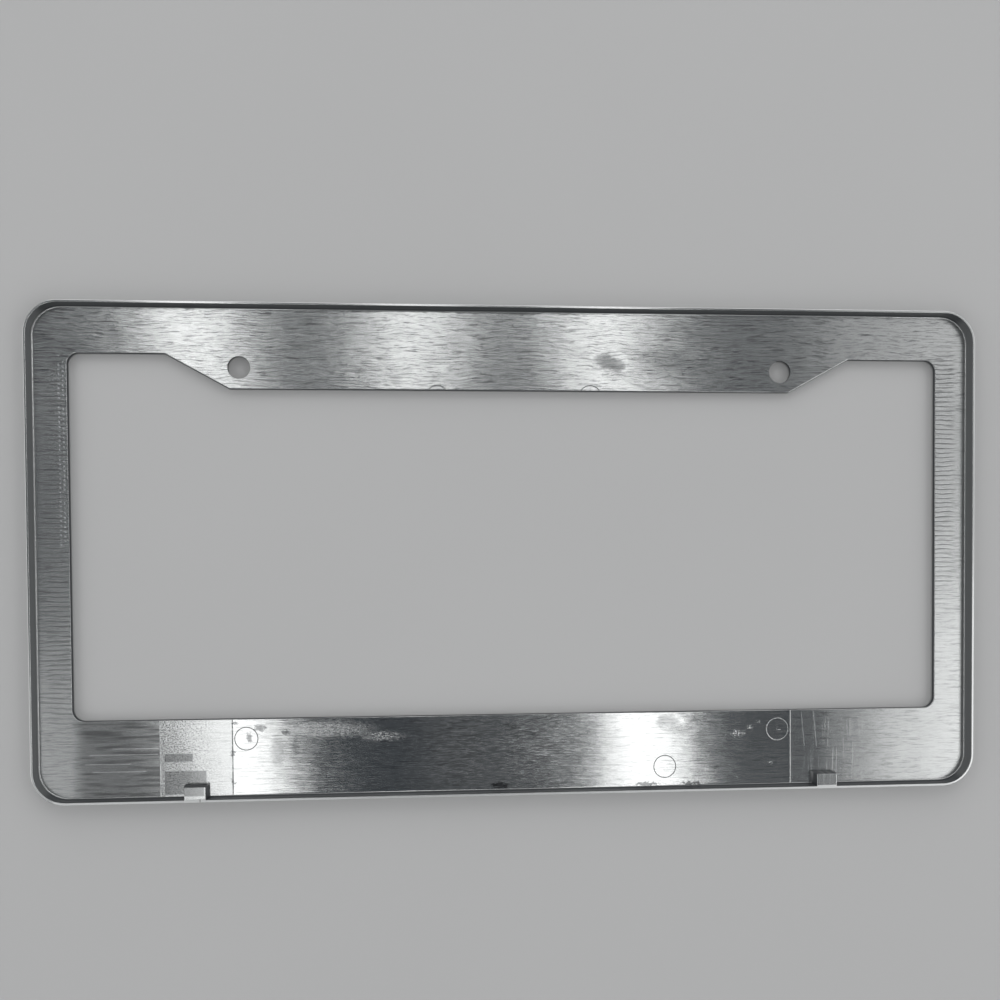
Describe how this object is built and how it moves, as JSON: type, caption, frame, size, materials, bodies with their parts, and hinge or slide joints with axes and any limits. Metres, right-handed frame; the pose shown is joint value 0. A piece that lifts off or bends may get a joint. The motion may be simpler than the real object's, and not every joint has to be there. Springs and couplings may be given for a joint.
{
  "type": "number plate frame",
  "caption": "Flat die-cast number plate frame with a raised rim, a wide window, a drooping tongue with fixing holes and small stop lugs.",
  "frame": {"origin": "middle of the flat front face, on the surface the frame lies on", "axes": "+X along the plate's length, +Y towards the plate's top edge and the fixing holes, +Z out of the back, the side the plate goes in from"},
  "size_m": [0.3096, 0.1596, 0.006],
  "materials": {
    "plated_casting": "bright plating over a die casting, with fine grinding streaks on the back"
  },
  "bodies": {
    "root": {"plate_frame": "plated_casting"}
  },
  "joints": []
}
